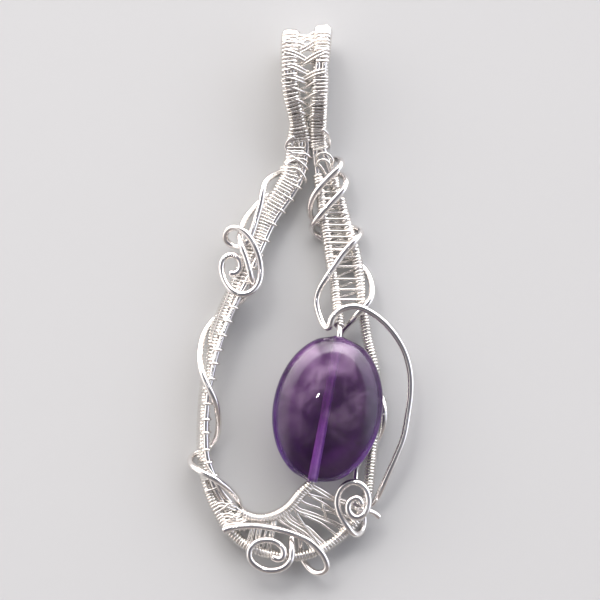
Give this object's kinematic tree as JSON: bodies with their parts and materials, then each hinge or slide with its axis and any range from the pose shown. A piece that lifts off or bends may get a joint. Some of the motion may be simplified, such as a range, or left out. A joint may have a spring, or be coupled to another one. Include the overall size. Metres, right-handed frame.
{
  "type": "wire-wrapped pendant",
  "caption": "Openwork pear-shaped pendant of bound round wire with a tunnel bail, loose scrolls, an open arc and a smooth oval bead.",
  "frame": {"origin": "middle of the pendant seen from the front, at the level of the surface it lies on", "axes": "+X to the right of the front view, +Y towards the bail, +Z out of the front face; it lies on its back"},
  "size_m": [0.0307, 0.0744, 0.0084],
  "materials": {
    "bead": "polished amethyst, cloudy in places",
    "wire": "bright drawn silver wire",
    "wound_wire": "fine silver wire wound close"
  },
  "bodies": {
    "root": {"bead": "bead", "outer_wire": "wire", "middle_wire": "wire", "inner_wire": "wire", "left_coil": "wound_wire", "frame_coil": "wound_wire", "inner_coil": "wound_wire", "arm_coil": "wound_wire", "bail_coil_left": "wound_wire", "bail_coil_right": "wound_wire", "neck_wrap": "wire", "side_scroll": "wire", "wave_wire": "wire", "foot_scroll": "wire", "arc_wire": "wire", "return_wire": "wire", "corner_scroll": "wire"}
  },
  "joints": []
}
